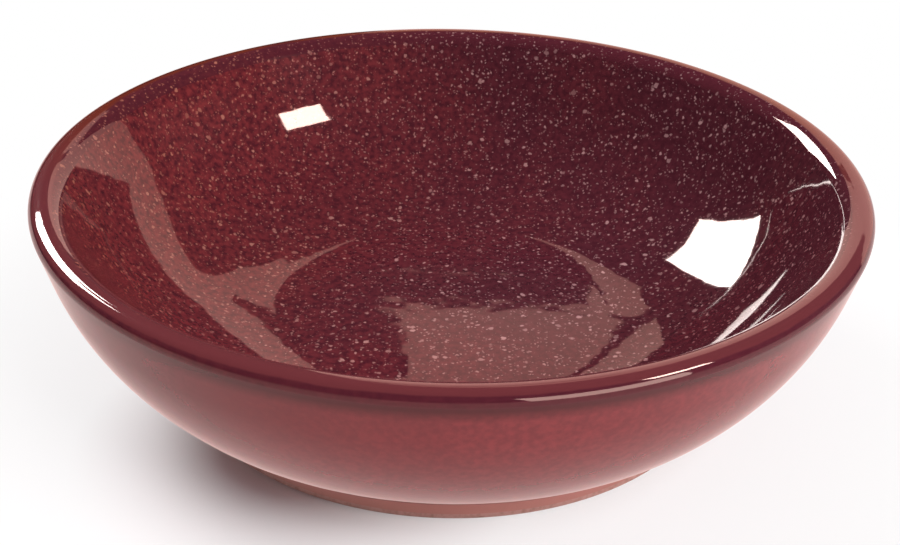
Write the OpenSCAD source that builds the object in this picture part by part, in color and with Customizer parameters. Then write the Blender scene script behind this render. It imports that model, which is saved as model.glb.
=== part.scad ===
// Dip bowl: a low round stoneware bowl with a rounded lip, a curved wall, a flat floor and a foot ring,
// coated with glaze over the lip, inside, outside and under the floor.
// Millimetres, Z up. The bowl stands on Z = 0 and is centred on the Z axis.

/* [Overall] */
// Diameter across the outside of the lip
outer_diameter = 120; // [105:1:150]
// Height of the top of the lip above the table
overall_height = 32.5; // [28:0.5:44]

/* [Lip and wall] */
// Radius of the lip's outer edge, with its glaze
lip_edge = 1.4; // [1.2:0.1:1.8]
// Slope, down to the outside, where the lip's outer edge meets its shoulder, in degrees
edge_slope = 7; // [4:1:10]
// Radius of the shoulder, from the top of the lip down into the bowl
shoulder_radius = 3.4; // [2.8:0.1:4.2]
// Lean of the outside from upright, just under the lip, in degrees
outer_lean = 15; // [10:1:20]
// Length of the straight stretch of the outside under the lip
outer_straight = 5.3; // [3:0.1:8]
// Lean of the inside from upright, just under the shoulder, in degrees
inner_lean = 30; // [26:1:34]
// Length of the straight stretch of the inside under the shoulder
inner_straight = 8.4; // [6:0.2:10.4]

/* [Floor and foot] */
// Diameter across the outside of the foot ring, with its glaze
foot_diameter = 82.8; // [74:0.2:92]
// Height at which the wall leaves the foot ring
foot_height = 2.8; // [2.2:0.1:4]
// Slope of the wall above level where it leaves the foot ring, in degrees
foot_flare = 32; // [26:1:38]
// Width of the foot ring
foot_width = 4.6; // [3.4:0.1:6]
// Rounding of the two lower edges of the foot ring
foot_rounding = 0.4; // [0.3:0.1:0.8]
// Depth of the hollow under the floor, inside the foot ring
recess_depth = 1.8; // [1.2:0.1:2.2]
// Thickness of the clay under the floor
base_thickness = 5.2; // [4:0.1:6]
// Distance from the edge of the foot in to the edge of the flat floor
floor_setback = 17.4; // [14:0.2:20]

/* [Glaze] */
// Thickness of the glaze coat
glaze = 0.4; // [0.25:0.05:0.6]
// Height of the bare clay left above the table on the foot ring
bare_foot = 0.9; // [0.8:0.1:1.4]

/* [Hidden] */
// Largest distance between a curve and the straight steps that draw it
curve_tolerance = 0.004;
// Sides of the display mesh
$fn = 180;

// Lip: a tight outer edge and a wider shoulder, whose top is at the overall height
lip_middle = [
    outer_diameter / 2 - lip_edge,
    overall_height - shoulder_radius + (shoulder_radius - lip_edge) * cos(edge_slope)
];

// Foot ring and floor
foot_radius = foot_diameter / 2;
foot_bore = foot_radius - foot_width;
base_underside = recess_depth + glaze;
floor_height = base_underside + base_thickness + glaze;
floor_radius = foot_radius - floor_setback;

function unit(angle) = [cos(angle), sin(angle)];
function last(list) = list[len(list) - 1];
function tail(list) = [for (i = [1 : len(list) - 1]) list[i]];
function reversed(list) = [for (i = [len(list) - 1 : -1 : 0]) list[i]];

// Points on an arc about a middle, from one angle to another; an arc that bends the other way has a negative radius
function arc(middle, radius, from, to) =
    let (
        widest_step = 2 * acos(1 - curve_tolerance / abs(radius)),
        steps = max(2, ceil(abs(to - from) / widest_step))
    )
    [for (i = [0 : steps]) middle + radius * unit(from + (to - from) * i / steps)];

// Two arcs that bend smoothly from p, heading along angle a, to q, heading along angle b:
// [first middle, first radius, second middle, second radius, angle at which they meet]
function bend(p, a, q, b) =
    let (
        step = q - p,
        both = unit(a) + unit(b),
        spread = 2 * (1 - unit(a) * unit(b)),
        reach = (sqrt((step * both) ^ 2 + spread * (step * step)) - step * both) / spread,
        meet = (p + q + reach * (unit(a) - unit(b))) / 2,
        first_radius = (meet - p) * (meet - p) / (2 * unit(a + 90) * (meet - p)),
        second_radius = (meet - q) * (meet - q) / (2 * unit(b + 90) * (meet - q)),
        first_middle = p + first_radius * unit(a + 90),
        second_middle = q + second_radius * unit(b + 90),
        chord = meet - p,
        heading = 2 * atan2(chord[1], chord[0]) - a
    )
    [first_middle, first_radius, second_middle, second_radius, heading - 90];

shoulder_middle = lip_middle + (lip_edge - shoulder_radius) * unit(90 - edge_slope);
shoulder_end = shoulder_middle + shoulder_radius * unit(180 - inner_lean);

// Lower ends of the straight stretches of the outside and the inside
outer_straight_end = lip_middle + lip_edge * unit(-outer_lean) - outer_straight * unit(90 - outer_lean);
inner_straight_end = shoulder_end - inner_straight * unit(90 - inner_lean);

outer_bend = bend([foot_radius, foot_height], foot_flare, outer_straight_end, 90 - outer_lean);
inner_bend = bend([floor_radius, floor_height], 0, inner_straight_end, 90 - inner_lean);

// Outside of the wall from the foot ring up, at a depth below the finished surface
function outer_curve(depth) =
    let (start = -acos((foot_radius - depth - outer_bend[0][0]) / (outer_bend[1] - depth)))
    concat(
        arc(outer_bend[0], outer_bend[1] - depth, start, outer_bend[4]),
        tail(arc(outer_bend[2], outer_bend[3] - depth, outer_bend[4], -outer_lean))
    );

// Lip from the outside over the top and down the shoulder, at a depth below the finished surface
function lip_curve(depth) =
    concat(
        arc(lip_middle, lip_edge - depth, -outer_lean, 90 - edge_slope),
        tail(arc(shoulder_middle, shoulder_radius - depth, 90 - edge_slope, 180 - inner_lean))
    );

// Inside from under the shoulder down to the edge of the flat floor, at a depth below the finished surface
function inner_curve(depth) =
    concat(
        arc(inner_bend[2], inner_bend[3] + depth, -inner_lean, inner_bend[4]),
        tail(arc(inner_bend[0], inner_bend[1] + depth, inner_bend[4], -90))
    );

// Level at which the foot ring is set against the wall
seat_height = outer_curve(glaze)[0][1];

module clay_body() {
    color("#a9745c")
    rotate_extrude()
    polygon(concat(
        [[0, base_underside], [foot_bore, base_underside], [foot_bore, seat_height]],
        outer_curve(glaze),
        lip_curve(glaze),
        inner_curve(glaze),
        [[0, floor_height - glaze]]
    ));
}

// The bare edge is flush with the glaze, which ends on a ledge round the ring
module foot_ring() {
    ledge = foot_radius - glaze;
    color("#b88a74")
    rotate_extrude()
    polygon(concat(
        arc([foot_bore + foot_rounding, foot_rounding], foot_rounding, 180, 270),
        arc([foot_radius - foot_rounding, foot_rounding], foot_rounding, 270, 360),
        [[foot_radius, bare_foot], [ledge, bare_foot], [ledge, seat_height], [foot_bore, seat_height]]
    ));
}

module inner_glaze() {
    color("#6b2a2e")
    rotate_extrude()
    polygon(concat(
        [last(lip_curve(0))],
        inner_curve(0),
        [[0, floor_height], [0, floor_height - glaze]],
        reversed(inner_curve(glaze)),
        [last(lip_curve(glaze))]
    ));
}

module rim_glaze() {
    color("#7a3a22")
    rotate_extrude()
    polygon(concat(lip_curve(0), reversed(lip_curve(glaze))));
}

module outer_glaze() {
    color("#7a3f41")
    rotate_extrude()
    polygon(concat(
        [[foot_radius, bare_foot]],
        outer_curve(0),
        [lip_curve(0)[0], lip_curve(glaze)[0]],
        reversed(outer_curve(glaze)),
        [[foot_radius - glaze, bare_foot]]
    ));
}

module base_glaze() {
    color("#6f383b")
    translate([0, 0, recess_depth])
    cylinder(r = foot_bore, h = glaze);
}

clay_body();
foot_ring();
inner_glaze();
rim_glaze();
outer_glaze();
base_glaze();
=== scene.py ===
import math

import bpy
from mathutils import Matrix, Vector


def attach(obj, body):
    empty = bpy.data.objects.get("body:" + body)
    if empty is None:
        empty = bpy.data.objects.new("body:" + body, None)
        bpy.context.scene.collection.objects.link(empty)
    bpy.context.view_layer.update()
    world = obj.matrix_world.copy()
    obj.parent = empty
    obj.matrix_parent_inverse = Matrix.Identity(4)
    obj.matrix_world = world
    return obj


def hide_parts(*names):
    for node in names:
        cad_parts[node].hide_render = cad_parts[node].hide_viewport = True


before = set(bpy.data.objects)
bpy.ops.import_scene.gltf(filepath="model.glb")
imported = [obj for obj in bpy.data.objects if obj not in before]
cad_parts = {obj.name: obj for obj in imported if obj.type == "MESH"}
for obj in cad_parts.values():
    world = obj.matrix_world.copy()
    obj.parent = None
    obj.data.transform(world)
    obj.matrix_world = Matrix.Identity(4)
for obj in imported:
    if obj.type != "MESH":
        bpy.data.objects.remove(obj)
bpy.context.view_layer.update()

MM = 0.001

# Sizes of the bowl in millimetres and degrees, as the solids have them
OUTER_DIAMETER = 120
OVERALL_HEIGHT = 32.5
LIP_EDGE = 1.4
EDGE_SLOPE = 7
SHOULDER_RADIUS = 3.4
OUTER_LEAN = 15
OUTER_STRAIGHT = 5.3
INNER_LEAN = 30
INNER_STRAIGHT = 8.4
FOOT_RADIUS = 41.4
FOOT_BORE = 36.8
FOOT_HEIGHT = 2.8
FOOT_FLARE = 32
FOOT_ROUNDING = 0.4
BARE_FOOT = 0.9
RECESS = 1.8
FLOOR_HEIGHT = 7.8
FLOOR_RADIUS = 24
GLAZE = 0.4

# Straight steps that draw each curve, on the faces that show and on the hidden backs of the glaze
STEPS_ROUND = 256
LIP_STEPS = 96
INNER_STEPS = 64
OUTER_STEPS = 48
ROUNDING_STEPS = 8
FLOOR_STEPS = 10
BASE_STEPS = 8
LIP_BACK_STEPS = 24
INNER_BACK_STEPS = 24
OUTER_BACK_STEPS = 16
FLOOR_BACK_STEPS = 4

# Turning: any circle for the profile to run along, the angle from which an edge is sharp, and the distance
# within which points are welded, in millimetres and degrees
WHEEL_RADIUS = 30
CREASE_ANGLE = 40
WELD_DISTANCE = 0.001

# Patterns in the glaze and the clay, with painted light and shade in the glaze, in millimetres
CLOUD_SIZE = 30
# Painted light: the glaze shades from its right-hand tone to its left-hand tone between these distances
# across the bowl
PAINTED_LIGHT_START = 10
PAINTED_LIGHT_END = -45
GRAIN_SIZE = 0.9
RAGGED_SIZE = 0.8
RAGGED_REACH = 0.7
FLECK_SOFTNESS = 0.14
FLECK_FADE = 0.8
CREST_WANDER_SIZE = 6
CREST_WANDER_HEIGHT = 0.2
CREST_NEAR = -10
CREST_FAR = 25
CREST_DEPTH_NEAR = 0.35
CREST_DEPTH_FAR = 0.02
CREST_SOFTNESS = 0.14
# Painted light: the outside glaze turns paler low on the wall towards the foot, partly thin glaze over the
# clay and partly a painted reflection of the bright floor
THIN_AND_SHEEN_START = 3.4
THIN_AND_SHEEN_FULL = 2.6
# Painted shade: the outside glaze turns darker high on the wall under the lip
PAINTED_LIP_SHADE_START = 28.4
PAINTED_LIP_SHADE_FULL = 30.2
RIPPLE_SIZE = 4
RIPPLE_HEIGHT = 0.02
GROG_SIZE = 0.7
GROG_HEIGHT = 0.08

# Shares of the patterns and of the painted light and shade, and the levels of noise between which a pattern
# fades in
# Painted light: how far the shading across the bowl leans towards the right-hand tone and towards the
# left-hand tone
PAINTED_LIGHT_RIGHT = -0.5
PAINTED_LIGHT_LEFT = 0.4
GRAIN_LOW = 0.35
GRAIN_HIGH = 0.65
GRAIN_SHARE = 0.8
FAINTEST_FLECK = 0.35
CREST_SHARE = 0.8
THIN_AND_SHEEN_SHARE = 0.85
PAINTED_LIP_SHADE_SHARE = 0.9
GROG_LOW = 0.45
GROG_HIGH = 0.7

# Layers of flecks: spacing, smallest radius and largest radius in millimetres; below zero there is no fleck
FLECK_LAYERS = ((0.55, 0.0, 0.24), (0.95, -0.05, 0.36), (1.7, -0.4, 0.5))

# Sockets of a Mix node for colours: its factor, its two colours and its result
FACTOR = 0
FIRST = 6
SECOND = 7
RESULT = 2

WHITE = (1, 1, 1, 1)

# Camera, found from the outlines of the rim, the wall and the foot
LOOK_AT = Vector((0, 0, 0.015))
CAMERA_DISTANCE = 0.2027
CAMERA_ELEVATION = 29.1175
CAMERA_DIP = 0.276
CAMERA_YAW = 0.02
CAMERA_ROLL = 1.1174
CAMERA_LENS = 53.03
SENSOR_WIDTH = 36
CLIP_START = 0.01

# Stage, in metres
FLOOR_REACH = 4.0
FLOOR_LEVEL = -0.0002
BACK_CARD_Y = 0.9
BACK_CARD_OUTLINE = (
    (-0.07, 0), (1.5, 0), (1.4, 0.3), (1.26, 0.41), (1.18, 0.44), (0.95, 0.54), (0.7, 0.55), (0.35, 0.51),
    (0.28, 0.56), (0.22, 0.69), (0.08, 0.75), (0.02, 0.69), (-0.08, 0.64), (-0.045, 0.61), (-0.045, 0.565),
    (-0.07, 0.545), (0.13, 0.545), (0.13, 0.5), (-0.07, 0.5),
)
SIDE_CARD_X = 1.7
SIDE_CARD_NEAR = -0.33
SIDE_CARD_FAR = 0.9
SIDE_CARD_HEIGHT = 0.95
LEFT_FLAG_Y = 0.1
LEFT_FLAG_OUTLINE = (
    (-0.155, 0.045), (-0.065, 0.045), (-0.065, 0.165), (-0.103, 0.165), (-0.103, 0.119), (-0.07, 0.119),
    (-0.07, 0.0945), (-0.155, 0.0945),
)
BACK_FLAG_HEIGHT = 0.045
BACK_FLAG_OUTLINE = ((-0.0205, 0.0345), (-0.008, 0.0345), (-0.008, 0.0437), (-0.0205, 0.0437))

# Shadows on the floor: the middle, the distance from it at which the shadow starts to fade, the distance at
# which it is gone, and the share of it that is hidden in the middle
FLOOR_SHADOWS = (((-0.02, -0.025, 0), 0.012, 0.033, 0.0), ((0, 0, 0), 0.041, 0.1, 0.62))

# Lamps: azimuth, elevation, distance, width, height, tilt, brightness, and True for one that is mirrored in
# the glaze, False for one that lights the bowl
LAMPS = {
    "softbox_left": (-31.5, 27.1, 0.9, 0.32, 0.36, -7, 22, True),
    "softbox_right": (114, 42, 0.9, 0.22, 0.16, -15, 30, True),
    "strip_light": (142, 15, 1.0, 0.72, 0.53, 0, 6, True),
    "key_light": (131, 43, 1.0, 0.6, 0.5, 0, 8.6, False),
    "back_light": (-45, 35, 1.0, 0.5, 0.5, 0, 8.5, False),
}

# Watts for each square metre of a lamp and each unit of its brightness
LAMP_POWER = 4

# Light of the room on the bowl, in the glaze and to the camera
ROOM_FILL = 0.25
ROOM_IN_GLAZE = 0.03
ROOM_TO_CAMERA = 1.0


def colour(hex_code):
    """Linear colour of an sRGB hex value."""
    parts = [int(hex_code[i:i + 2], 16) / 255 for i in (1, 3, 5)]
    linear = [c / 12.92 if c <= 0.04045 else ((c + 0.055) / 1.055) ** 2.4 for c in parts]
    return (*linear, 1)


def add(tree, kind, inputs=None, **settings):
    """Adds a node; an input is set to a value, or linked when the value is another node's output."""
    node = tree.nodes.new(kind)
    for name, value in settings.items():
        setattr(node, name, value)
    for name, value in (inputs or {}).items():
        if isinstance(value, bpy.types.NodeSocket):
            tree.links.new(value, node.inputs[name])
        else:
            node.inputs[name].default_value = value
    return node


# Profile of the bowl

def unit(angle):
    """Unit vector at an angle in degrees, radius across and height up."""
    turn = math.radians(angle)
    return Vector((math.cos(turn), math.sin(turn)))


def arc(middle, radius, start, stop, steps):
    """Points on an arc about a middle."""
    return [middle + radius * unit(start + (stop - start) * i / steps) for i in range(steps + 1)]


def bend(p, a, q, b):
    """Two arcs that bend smoothly from p, heading along angle a, to q, heading along angle b."""
    step = q - p
    both = unit(a) + unit(b)
    spread = 2 * (1 - unit(a).dot(unit(b)))
    along = step.dot(both)
    reach = (math.sqrt(along ** 2 + spread * step.length_squared) - along) / spread
    meet = (p + q + reach * (unit(a) - unit(b))) / 2
    first_radius = (meet - p).length_squared / (2 * unit(a + 90).dot(meet - p))
    second_radius = (meet - q).length_squared / (2 * unit(b + 90).dot(meet - q))
    first_middle = p + first_radius * unit(a + 90)
    second_middle = q + second_radius * unit(b + 90)
    chord = meet - p
    heading = 2 * math.degrees(math.atan2(chord.y, chord.x)) - a
    return first_middle, first_radius, second_middle, second_radius, heading - 90


LIP_MIDDLE = Vector((OUTER_DIAMETER / 2 - LIP_EDGE,
                     OVERALL_HEIGHT - SHOULDER_RADIUS + (SHOULDER_RADIUS - LIP_EDGE) * unit(EDGE_SLOPE).x))
SHOULDER_MIDDLE = LIP_MIDDLE + (LIP_EDGE - SHOULDER_RADIUS) * unit(90 - EDGE_SLOPE)
SHOULDER_END = SHOULDER_MIDDLE + SHOULDER_RADIUS * unit(180 - INNER_LEAN)
OUTER_END = LIP_MIDDLE + LIP_EDGE * unit(-OUTER_LEAN) - OUTER_STRAIGHT * unit(90 - OUTER_LEAN)
INNER_END = SHOULDER_END - INNER_STRAIGHT * unit(90 - INNER_LEAN)
OUTER_BEND = bend(Vector((FOOT_RADIUS, FOOT_HEIGHT)), FOOT_FLARE, OUTER_END, 90 - OUTER_LEAN)
INNER_BEND = bend(Vector((FLOOR_RADIUS, FLOOR_HEIGHT)), 0, INNER_END, 90 - INNER_LEAN)


def outer_curve(depth, steps):
    """Outside of the wall from the foot up, at a depth below the finished surface."""
    first, first_radius, second, second_radius, meet = OUTER_BEND
    start = -math.degrees(math.acos((FOOT_RADIUS - depth - first.x) / (first_radius - depth)))
    lower = arc(first, first_radius - depth, start, meet, steps)
    upper = arc(second, second_radius - depth, meet, -OUTER_LEAN, steps)
    return lower + upper[1:]


def lip_curve(depth, steps):
    """Lip from the outside over the top and down the shoulder."""
    edge = arc(LIP_MIDDLE, LIP_EDGE - depth, -OUTER_LEAN, 90 - EDGE_SLOPE, steps)
    shoulder = arc(SHOULDER_MIDDLE, SHOULDER_RADIUS - depth, 90 - EDGE_SLOPE, 180 - INNER_LEAN, steps)
    return edge + shoulder[1:]


def inner_curve(depth, steps):
    """Inside from under the shoulder down to the edge of the flat floor."""
    first, first_radius, second, second_radius, meet = INNER_BEND
    upper = arc(second, second_radius + depth, -INNER_LEAN, meet, steps)
    lower = arc(first, first_radius + depth, meet, -90, steps)
    return upper + lower[1:]


# Turning: a profile swept round the axis

def turning_tree():
    """Geometry Nodes that turn a profile, radius along X and height along Z, into a closed mesh."""
    tree = bpy.data.node_groups.new("turned_on_the_wheel", "GeometryNodeTree")
    sockets = tree.interface
    sockets.new_socket("Profile", in_out="INPUT", socket_type="NodeSocketGeometry")
    sockets.new_socket("Wheel radius", in_out="INPUT", socket_type="NodeSocketFloat")
    sockets.new_socket("Steps round", in_out="INPUT", socket_type="NodeSocketInt")
    sockets.new_socket("Crease angle", in_out="INPUT", socket_type="NodeSocketFloat")
    sockets.new_socket("Weld distance", in_out="INPUT", socket_type="NodeSocketFloat")
    sockets.new_socket("Finish", in_out="INPUT", socket_type="NodeSocketMaterial")
    sockets.new_socket("Piece", in_out="OUTPUT", socket_type="NodeSocketGeometry")
    given = add(tree, "NodeGroupInput").outputs
    place = add(tree, "GeometryNodeInputPosition")
    parts = add(tree, "ShaderNodeSeparateXYZ", {0: place.outputs[0]})
    across = add(tree, "ShaderNodeMath", {0: parts.outputs["X"], 1: given["Wheel radius"]},
                 operation="SUBTRACT")
    down = add(tree, "ShaderNodeMath", {0: parts.outputs["Z"], 1: -1.0}, operation="MULTIPLY")
    flat = add(tree, "ShaderNodeCombineXYZ", {"X": across.outputs[0], "Y": down.outputs[0]})
    laid = add(tree, "GeometryNodeSetPosition", {"Geometry": given["Profile"], "Position": flat.outputs[0]})
    profile = add(tree, "GeometryNodeMeshToCurve", {"Mesh": laid.outputs[0]})
    wheel = add(tree, "GeometryNodeCurvePrimitiveCircle",
                {"Resolution": given["Steps round"], "Radius": given["Wheel radius"]})
    swept = add(tree, "GeometryNodeCurveToMesh",
                {"Curve": wheel.outputs[0], "Profile Curve": profile.outputs[0]})
    welded = add(tree, "GeometryNodeMergeByDistance",
                 {"Geometry": swept.outputs[0], "Distance": given["Weld distance"]})
    smooth = add(tree, "GeometryNodeSetShadeSmooth", {"Geometry": welded.outputs[0], "Shade Smooth": True})
    angle = add(tree, "GeometryNodeInputMeshEdgeAngle")
    sharp = add(tree, "FunctionNodeCompare", {0: angle.outputs["Unsigned Angle"], 1: given["Crease angle"]},
                operation="GREATER_THAN")
    creased = add(tree, "GeometryNodeSetShadeSmooth",
                  {"Geometry": smooth.outputs[0], "Selection": sharp.outputs[0], "Shade Smooth": False},
                  domain="EDGE")
    real = add(tree, "GeometryNodeRealizeInstances", {"Geometry": creased.outputs[0]})
    finished = add(tree, "GeometryNodeSetMaterial",
                   {"Geometry": real.outputs[0], "Material": given["Finish"]})
    add(tree, "NodeGroupOutput", {"Piece": finished.outputs[0]})
    return tree


TURNING = turning_tree()


def turned(name, points, closed, finish):
    """A piece turned from profile points in millimetres that run clockwise, outside on their left."""
    count = len(points)
    edges = [(i, i + 1) for i in range(count - 1)]
    if closed:
        edges.append((count - 1, 0))
    outline = bpy.data.meshes.new(name + "_profile")
    outline.from_pydata([(p.x * MM, 0, p.y * MM) for p in points], edges, [])
    piece = bpy.data.objects.new(name, outline)
    bpy.context.scene.collection.objects.link(piece)
    sizes = {
        "Wheel radius": WHEEL_RADIUS * MM,
        "Steps round": STEPS_ROUND,
        "Crease angle": math.radians(CREASE_ANGLE),
        "Weld distance": WELD_DISTANCE * MM,
        "Finish": finish,
    }
    modifier = piece.modifiers.new("turning", "NODES")
    modifier.node_group = TURNING
    for socket in TURNING.interface.items_tree:
        if socket.in_out == "INPUT" and socket.name in sizes:
            modifier[socket.identifier] = sizes[socket.name]
    seen = bpy.context.evaluated_depsgraph_get()
    mesh = bpy.data.meshes.new_from_object(piece.evaluated_get(seen))
    piece.modifiers.clear()
    piece.data = mesh
    mesh.name = name
    bpy.data.meshes.remove(outline)
    return piece


# Materials

def principled(name, **constants):
    """A material, its tree, its shader with constants set on the sockets, and its Object coordinates."""
    material = bpy.data.materials.new(name)
    material.use_nodes = True
    tree = material.node_tree
    shader = tree.nodes["Principled BSDF"]
    for socket, value in constants.items():
        shader.inputs[socket.replace("_", " ")].default_value = value
    place = add(tree, "ShaderNodeTexCoord").outputs["Object"]
    return material, tree, shader, place


def flecks(tree, place, spacing, small, large):
    """Mask of flecks: at most one in each cell of a random grid, with its own size, in millimetres."""
    cells = add(tree, "ShaderNodeTexVoronoi", {"Vector": place, "Scale": 1 / (spacing * MM)})
    chance = add(tree, "ShaderNodeSeparateColor", {0: cells.outputs["Color"]})
    size = add(tree, "ShaderNodeMapRange", {"Value": chance.outputs[0], "To Min": small / spacing,
                                            "To Max": large / spacing})
    inside = add(tree, "ShaderNodeMath", {0: size.outputs[0], 1: cells.outputs["Distance"]},
                 operation="SUBTRACT")
    edge = add(tree, "ShaderNodeMapRange", {"Value": inside.outputs[0],
                                            "From Max": FLECK_SOFTNESS / spacing})
    vividness = add(tree, "ShaderNodeMapRange", {"Value": chance.outputs[1], "To Min": FAINTEST_FLECK})
    strength = add(tree, "ShaderNodeMath", {0: edge.outputs[0], 1: vividness.outputs[0]},
                   operation="MULTIPLY")
    return strength.outputs[0]


def glaze(name, left, right, deep, fleck_left, fleck_right, fleck_share, fleck_edge=None, breaking_and_front_light=None,
          thin_and_sheen=None, painted_lip_shade=None):
    """Iron red stoneware glaze: a glassy coat, its tone drifting at random and shaded across the bowl with
    painted light, with rust crystals in it.

    The flecks end at the radius fleck_edge. On the crest of the lip the glaze breaks to orange-brown at the
    back, while its lighter tone in front is a painted band of light. Towards the foot it is paler, partly
    thin glaze over the clay and partly a painted reflection of the bright floor, and under the lip it is
    darker with painted shade.
    """
    material, tree, shader, place = principled(name, Roughness=0.04, IOR=1.5,
                                               Specular_Tint=colour("#ffd6c8"))
    parts = add(tree, "ShaderNodeSeparateXYZ", {0: place})
    clouds = add(tree, "ShaderNodeTexNoise", {"Vector": place, "Scale": 1 / (CLOUD_SIZE * MM),
                                              "Detail": 2.0})
    # Painted light: the glaze is shaded from one side of the bowl to the other, on top of random clouds of
    # tone
    side = add(tree, "ShaderNodeMapRange", {"Value": parts.outputs["X"], "From Min": PAINTED_LIGHT_START * MM,
                                            "From Max": PAINTED_LIGHT_END * MM, "To Min": PAINTED_LIGHT_RIGHT,
                                            "To Max": PAINTED_LIGHT_LEFT})
    tone_and_painted_light = add(tree, "ShaderNodeMath", {0: clouds.outputs["Fac"], 1: side.outputs[0]}, operation="ADD",
                 use_clamp=True)
    ground = add(tree, "ShaderNodeMix", {FACTOR: tone_and_painted_light.outputs[0], FIRST: colour(right),
                                         SECOND: colour(left)}, data_type="RGBA")
    grain = add(tree, "ShaderNodeTexNoise", {"Vector": place, "Scale": 1 / (GRAIN_SIZE * MM),
                                             "Detail": 3.0})
    depth = add(tree, "ShaderNodeMapRange", {"Value": grain.outputs["Fac"], "From Min": GRAIN_LOW,
                                             "From Max": GRAIN_HIGH, "To Max": GRAIN_SHARE})
    ground = add(tree, "ShaderNodeMix", {FACTOR: depth.outputs[0], FIRST: ground.outputs[RESULT],
                                         SECOND: colour(deep)}, data_type="RGBA")
    fleck = add(tree, "ShaderNodeMix", {FACTOR: tone_and_painted_light.outputs[0], FIRST: colour(fleck_right),
                                        SECOND: colour(fleck_left)}, data_type="RGBA")
    if fleck_edge:
        flat = add(tree, "ShaderNodeVectorMath", {0: place, 1: (1, 1, 0)}, operation="MULTIPLY")
        radius = add(tree, "ShaderNodeVectorMath", {0: flat.outputs[0]}, operation="LENGTH")
        fade = add(tree, "ShaderNodeMapRange", {"Value": radius.outputs["Value"],
                                                "From Min": (fleck_edge - FLECK_FADE) * MM,
                                                "From Max": fleck_edge * MM,
                                                "To Min": fleck_share, "To Max": 0.0})
        fleck_share = fade.outputs[0]
    uneven = add(tree, "ShaderNodeTexNoise", {"Vector": place, "Scale": 1 / (RAGGED_SIZE * MM),
                                              "Detail": 1.0})
    ragged = add(tree, "ShaderNodeVectorMath", {0: uneven.outputs["Color"], 1: (RAGGED_REACH * MM,) * 3,
                                                2: place}, operation="MULTIPLY_ADD")
    for spacing, small, large in FLECK_LAYERS:
        spots = flecks(tree, ragged.outputs[0], spacing, small, large)
        share = add(tree, "ShaderNodeMath", {0: spots, 1: fleck_share}, operation="MULTIPLY")
        ground = add(tree, "ShaderNodeMix", {FACTOR: share.outputs[0], FIRST: ground.outputs[RESULT],
                                             SECOND: fleck.outputs[RESULT]}, data_type="RGBA")
    # The crest breaks to orange-brown at the back; in front its lighter tone is a painted band of light
    if breaking_and_front_light:
        painted_front_light, at_the_back = breaking_and_front_light
        wander = add(tree, "ShaderNodeTexNoise", {"Vector": place, "Scale": 1 / (CREST_WANDER_SIZE * MM),
                                                  "Detail": 2.0})
        height = add(tree, "ShaderNodeMath", {0: wander.outputs["Fac"], 1: CREST_WANDER_HEIGHT * MM,
                                              2: parts.outputs["Z"]}, operation="MULTIPLY_ADD")
        far = add(tree, "ShaderNodeMapRange", {"Value": parts.outputs["Y"], "From Min": CREST_NEAR * MM,
                                               "From Max": CREST_FAR * MM})
        start = add(tree, "ShaderNodeMapRange", {"Value": far.outputs[0],
                                                 "To Min": (OVERALL_HEIGHT - CREST_DEPTH_NEAR) * MM,
                                                 "To Max": (OVERALL_HEIGHT - CREST_DEPTH_FAR) * MM})
        rise = add(tree, "ShaderNodeMath", {0: height.outputs[0], 1: start.outputs[0]},
                   operation="SUBTRACT")
        crest = add(tree, "ShaderNodeMapRange", {"Value": rise.outputs[0], "From Max": CREST_SOFTNESS * MM,
                                                 "To Max": CREST_SHARE})
        tone = add(tree, "ShaderNodeMix", {FACTOR: far.outputs[0], FIRST: colour(painted_front_light),
                                           SECOND: colour(at_the_back)}, data_type="RGBA")
        ground = add(tree, "ShaderNodeMix", {FACTOR: crest.outputs[0], FIRST: ground.outputs[RESULT],
                                             SECOND: tone.outputs[RESULT]}, data_type="RGBA")
    # Painted light and shade: paler towards the foot, partly thin glaze and partly a painted reflection of
    # the floor, and darker under the lip with painted shade
    for tone, begin, full, most in (
        (thin_and_sheen, THIN_AND_SHEEN_START, THIN_AND_SHEEN_FULL, THIN_AND_SHEEN_SHARE),
        (painted_lip_shade, PAINTED_LIP_SHADE_START, PAINTED_LIP_SHADE_FULL, PAINTED_LIP_SHADE_SHARE),
    ):
        if tone:
            near = add(tree, "ShaderNodeMapRange", {"Value": parts.outputs["Z"], "From Min": begin * MM,
                                                    "From Max": full * MM, "To Max": most})
            ground = add(tree, "ShaderNodeMix", {FACTOR: near.outputs[0], FIRST: ground.outputs[RESULT],
                                                 SECOND: colour(tone)}, data_type="RGBA")
    tree.links.new(ground.outputs[RESULT], shader.inputs["Base Color"])
    ripple = add(tree, "ShaderNodeTexNoise", {"Vector": place, "Scale": 1 / (RIPPLE_SIZE * MM),
                                              "Detail": 1.0})
    bump = add(tree, "ShaderNodeBump", {"Height": ripple.outputs["Fac"], "Distance": RIPPLE_HEIGHT * MM})
    tree.links.new(bump.outputs[0], shader.inputs["Normal"])
    return material


def clay(name, body, speck):
    """Fired stoneware clay: dry and matte, with fine grog that shows as darker grains."""
    material, tree, shader, place = principled(name, Roughness=0.85, IOR=1.5)
    grog = add(tree, "ShaderNodeTexNoise", {"Vector": place, "Scale": 1 / (GROG_SIZE * MM),
                                            "Detail": 4.0})
    grains = add(tree, "ShaderNodeMapRange", {"Value": grog.outputs["Fac"], "From Min": GROG_LOW,
                                              "From Max": GROG_HIGH})
    shade = add(tree, "ShaderNodeMix", {FACTOR: grains.outputs[0], FIRST: colour(body),
                                        SECOND: colour(speck)}, data_type="RGBA")
    tree.links.new(shade.outputs[RESULT], shader.inputs["Base Color"])
    bump = add(tree, "ShaderNodeBump", {"Height": grog.outputs["Fac"], "Distance": GROG_HEIGHT * MM})
    tree.links.new(bump.outputs[0], shader.inputs["Normal"])
    return material


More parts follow.
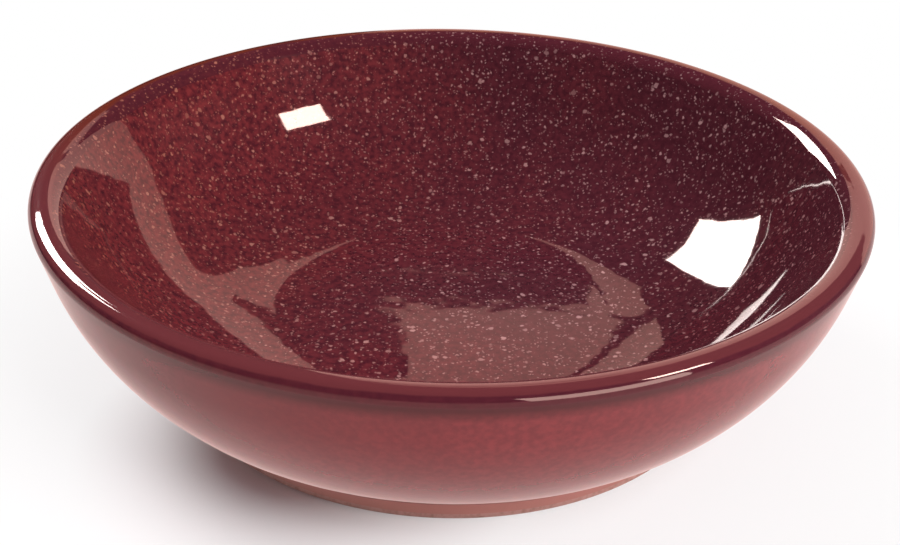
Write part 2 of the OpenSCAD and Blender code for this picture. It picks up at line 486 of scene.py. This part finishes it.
# Speckled stoneware glaze: deep glossy red-brown, made lighter and redder to the left with painted light,
# peppered with pale rust crystals
inside_finish = glaze("speckled_stoneware_glaze", left="#7c2e31", right="#50202a", deep="#3e1620",
                      fleck_left="#b06a58", fleck_right="#b08486", fleck_share=0.85)
# Stoneware glaze over the lip: a little lighter to the left with painted light; on the crest it breaks
# orange-brown at the back, and its lighter crest in front is a painted band of light
lip_finish = glaze("stoneware_glaze_breaking_on_the_lip", left="#5c242b", right="#52202a", deep="#4c1c27",
                   fleck_left="#b06a58", fleck_right="#b08486", fleck_share=0.85, fleck_edge=58,
                   breaking_and_front_light=("#6a3034", "#6e2c14"))
# Plain stoneware glaze: a red-brown gloss, lighter to the right with painted light, darker under the lip
# with painted shade, and paler towards the foot, partly thin glaze over the clay and partly a painted
# reflection of the bright floor
outside_finish = glaze("plain_stoneware_glaze", left="#5c2229", right="#843238", deep="#6c2830",
                       fleck_left="#9a5a50", fleck_right="#9a5a50", fleck_share=0.04, thin_and_sheen="#ca8c82",
                       painted_lip_shade="#42161f")
# Stoneware glaze under the floor: the same gloss, lighter to the right with painted light, with a few dull
# specks
under_finish = glaze("stoneware_glaze_under_the_floor", left="#62262c", right="#743030", deep="#5c242a",
                     fleck_left="#9a5a50", fleck_right="#9a5a50", fleck_share=0.2)
# Bare stoneware of the foot and of the body: dry, matte and pinkish brown, grainy with grog
foot_finish = clay("bare_stoneware_foot", body="#c09086", speck="#a5766a")
body_finish = clay("fired_stoneware_body", body="#a9745c", speck="#8d5a46")

# Pieces: each profile runs clockwise, over the face that shows and back along the hidden one

floor_face = [Vector((FLOOR_RADIUS * i / FLOOR_STEPS, FLOOR_HEIGHT)) for i in range(FLOOR_STEPS)]
floor_back = [Vector((FLOOR_RADIUS * i / FLOOR_BACK_STEPS, FLOOR_HEIGHT - GLAZE))
              for i in range(FLOOR_BACK_STEPS - 1, -1, -1)]
lip_face = lip_curve(0, LIP_STEPS)
lip_back = lip_curve(GLAZE, LIP_BACK_STEPS)
inside_face = lip_face[-1:] + inner_curve(0, INNER_STEPS)
inside_back = lip_back[-1:] + inner_curve(GLAZE, INNER_BACK_STEPS)
inner_glaze = turned("inner_glaze_coat", floor_face + inside_face[::-1] + inside_back + floor_back, False,
                     inside_finish)
rim_glaze = turned("rim_glaze_coat", lip_face[::-1] + lip_back, True, lip_finish)
foot_band = [Vector((FOOT_RADIUS, BARE_FOOT)), Vector((FOOT_RADIUS - GLAZE, BARE_FOOT))]
outside_face = lip_face[:1] + outer_curve(0, OUTER_STEPS)[::-1]
outside_back = outer_curve(GLAZE, OUTER_BACK_STEPS) + lip_back[:1]
outer_glaze = turned("outer_glaze_coat", outside_face + foot_band + outside_back, True, outside_finish)
seat = outside_back[0].y
outer_middle = Vector((FOOT_RADIUS - FOOT_ROUNDING, FOOT_ROUNDING))
inner_middle = Vector((FOOT_BORE + FOOT_ROUNDING, FOOT_ROUNDING))
outer_edge = arc(outer_middle, FOOT_ROUNDING, 0, -90, ROUNDING_STEPS)
inner_edge = arc(inner_middle, FOOT_ROUNDING, -90, -180, ROUNDING_STEPS)
ledge = [Vector((FOOT_RADIUS - GLAZE, seat))] + foot_band[::-1]
foot_ring = turned("bare_foot_ring", ledge + outer_edge + inner_edge + [Vector((FOOT_BORE, seat))], True,
                   foot_finish)
base_back = [Vector((FOOT_BORE * i / BASE_STEPS, RECESS + GLAZE)) for i in range(BASE_STEPS + 1)]
base_face = [Vector((p.x, RECESS)) for p in base_back[::-1]]
base_glaze = turned("base_glaze_coat", base_back + base_face, False, under_finish)

for piece, node, slot in (
    (inner_glaze, "inner_glaze", "speckled_glaze"),
    (rim_glaze, "rim_glaze", "lip_glaze"),
    (outer_glaze, "outer_glaze", "plain_glaze"),
    (foot_ring, "foot_ring", "foot_clay"),
    (base_glaze, "base_glaze", "under_glaze"),
):
    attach(piece, "root")
    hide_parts(node)

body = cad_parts["clay_body"]
body.data.materials.clear()
body.data.materials.append(body_finish)


# Studio: white floor paper, cards and lamps

def direction(azimuth, elevation):
    """Unit vector; azimuth 0 is away from the camera and grows to the right."""
    a = math.radians(azimuth)
    e = math.radians(elevation)
    return Vector((math.sin(a) * math.cos(e), math.cos(a) * math.cos(e), math.sin(e)))


def softbox(name, azimuth, elevation, distance, width, height, tilt, brightness, mirrored):
    """An area light that faces the bowl: it either shows in the glaze as a highlight or lights unseen."""
    lamp = bpy.data.lights.new(name, "AREA")
    lamp.shape = "RECTANGLE"
    lamp.size = width
    lamp.size_y = height
    lamp.energy = brightness * width * height * LAMP_POWER
    light = bpy.data.objects.new(name, lamp)
    bpy.context.scene.collection.objects.link(light)
    way = direction(azimuth, elevation)
    turn = (-way).to_track_quat("-Z", "Y").to_matrix().to_4x4()
    roll = Matrix.Rotation(math.radians(tilt), 4, "Z")
    light.matrix_world = Matrix.Translation(LOOK_AT + way * distance) @ turn @ roll
    light.visible_glossy = mirrored
    light.visible_diffuse = not mirrored


def card(name, corners, material, unseen=False):
    """A flat stage piece; an unseen one shows in the glaze alone."""
    mesh = bpy.data.meshes.new(name)
    mesh.from_pydata(corners, [], [range(len(corners))])
    mesh.materials.append(material)
    piece = bpy.data.objects.new(name, mesh)
    bpy.context.scene.collection.objects.link(piece)
    if unseen:
        piece.visible_camera = False
        piece.visible_diffuse = False
        piece.visible_shadow = False


def paper(name, tone, mirror_tone, mirror_strength, mirror_share, shadows=()):
    """Studio paper: matte, but plain white to the camera, with a share that glows in the glaze.

    Near the middle of each shadow the camera sees the paper's own light and shade.
    """
    material = bpy.data.materials.new(name)
    material.use_nodes = True
    tree = material.node_tree
    tree.nodes.clear()
    matte = add(tree, "ShaderNodeBsdfDiffuse", {"Color": colour(tone)})
    white = add(tree, "ShaderNodeEmission", {"Color": WHITE, "Strength": 1.0})
    gleam = add(tree, "ShaderNodeEmission", {"Color": colour(mirror_tone), "Strength": mirror_strength})
    ray = add(tree, "ShaderNodeLightPath")
    seen = ray.outputs["Is Camera Ray"]
    for middle, near, far, least in shadows:
        place = add(tree, "ShaderNodeTexCoord")
        distance = add(tree, "ShaderNodeVectorMath", {0: place.outputs["Object"], 1: middle},
                       operation="DISTANCE")
        glow = add(tree, "ShaderNodeMapRange", {"Value": distance.outputs["Value"], "From Min": near,
                                                "From Max": far, "To Min": least})
        seen = add(tree, "ShaderNodeMath", {0: seen, 1: glow.outputs[0]}, operation="MULTIPLY").outputs[0]
    shown = add(tree, "ShaderNodeMixShader", {0: seen, 1: matte.outputs[0], 2: white.outputs[0]})
    mirrored = add(tree, "ShaderNodeMath", {0: ray.outputs["Is Glossy Ray"], 1: mirror_share},
                   operation="MULTIPLY")
    both = add(tree, "ShaderNodeMixShader", {0: mirrored.outputs[0], 1: shown.outputs[0],
                                             2: gleam.outputs[0]})
    add(tree, "ShaderNodeOutputMaterial", {"Surface": both.outputs[0]})
    return material


floor_paper = paper("white_floor_paper", tone="#f6eef0", mirror_tone="#ffdcd6", mirror_strength=1.05,
                    mirror_share=0.8, shadows=FLOOR_SHADOWS)
back_paper = paper("warm_white_card", tone="#f2efee", mirror_tone="#ffcdc0", mirror_strength=1.5,
                   mirror_share=1.0)
grey_paper = paper("grey_card", tone="#8c8888", mirror_tone="#ffffff", mirror_strength=1.0,
                   mirror_share=0.0)
black_paper = paper("black_card", tone="#1c1a1a", mirror_tone="#ffffff", mirror_strength=0.0,
                    mirror_share=0.0)

square = ((-1, -1), (1, -1), (1, 1), (-1, 1))
side_outline = ((SIDE_CARD_FAR, 0), (SIDE_CARD_NEAR, 0), (SIDE_CARD_NEAR, SIDE_CARD_HEIGHT),
                (SIDE_CARD_FAR, SIDE_CARD_HEIGHT))
card("floor", [(x * FLOOR_REACH, y * FLOOR_REACH, FLOOR_LEVEL) for x, y in square], floor_paper)
card("back_card", [(x, BACK_CARD_Y, z) for x, z in BACK_CARD_OUTLINE], back_paper)
# The flags keep the softboxes out of parts of the lip
card("left_flag", [(x, LEFT_FLAG_Y, z) for x, z in LEFT_FLAG_OUTLINE], black_paper, unseen=True)
card("back_flag", [(x, y, BACK_FLAG_HEIGHT) for x, y in BACK_FLAG_OUTLINE], black_paper, unseen=True)
card("side_card", [(SIDE_CARD_X, y, z) for y, z in side_outline], grey_paper)
for lamp_name, settings in LAMPS.items():
    softbox(lamp_name, *settings)

world = bpy.data.worlds.new("room")
bpy.context.scene.world = world
world.use_nodes = True
room = world.node_tree
room.nodes.clear()
seen_by = add(room, "ShaderNodeLightPath")
fill = add(room, "ShaderNodeBackground", {"Color": WHITE, "Strength": ROOM_FILL})
dim = add(room, "ShaderNodeBackground", {"Color": WHITE, "Strength": ROOM_IN_GLAZE})
white = add(room, "ShaderNodeBackground", {"Color": WHITE, "Strength": ROOM_TO_CAMERA})
around = add(room, "ShaderNodeMixShader", {0: seen_by.outputs["Is Glossy Ray"], 1: fill.outputs[0],
                                           2: dim.outputs[0]})
both = add(room, "ShaderNodeMixShader", {0: seen_by.outputs["Is Camera Ray"], 1: around.outputs[0],
                                         2: white.outputs[0]})
add(room, "ShaderNodeOutputWorld", {"Surface": both.outputs[0]})

# Camera

lens = bpy.data.cameras.new("camera")
lens.lens = CAMERA_LENS
lens.sensor_width = SENSOR_WIDTH
lens.clip_start = CLIP_START
camera = bpy.data.objects.new("camera", lens)
bpy.context.scene.collection.objects.link(camera)
camera.matrix_world = (
    Matrix.Translation(LOOK_AT - CAMERA_DISTANCE * direction(0, -CAMERA_ELEVATION))
    @ Matrix.Rotation(math.radians(CAMERA_YAW), 4, "Z")
    @ Matrix.Rotation(math.radians(90 - CAMERA_ELEVATION - CAMERA_DIP), 4, "X")
    @ Matrix.Rotation(math.radians(CAMERA_ROLL), 4, "Z")
)
bpy.context.scene.camera = camera
bpy.context.scene.view_settings.view_transform = "Standard"
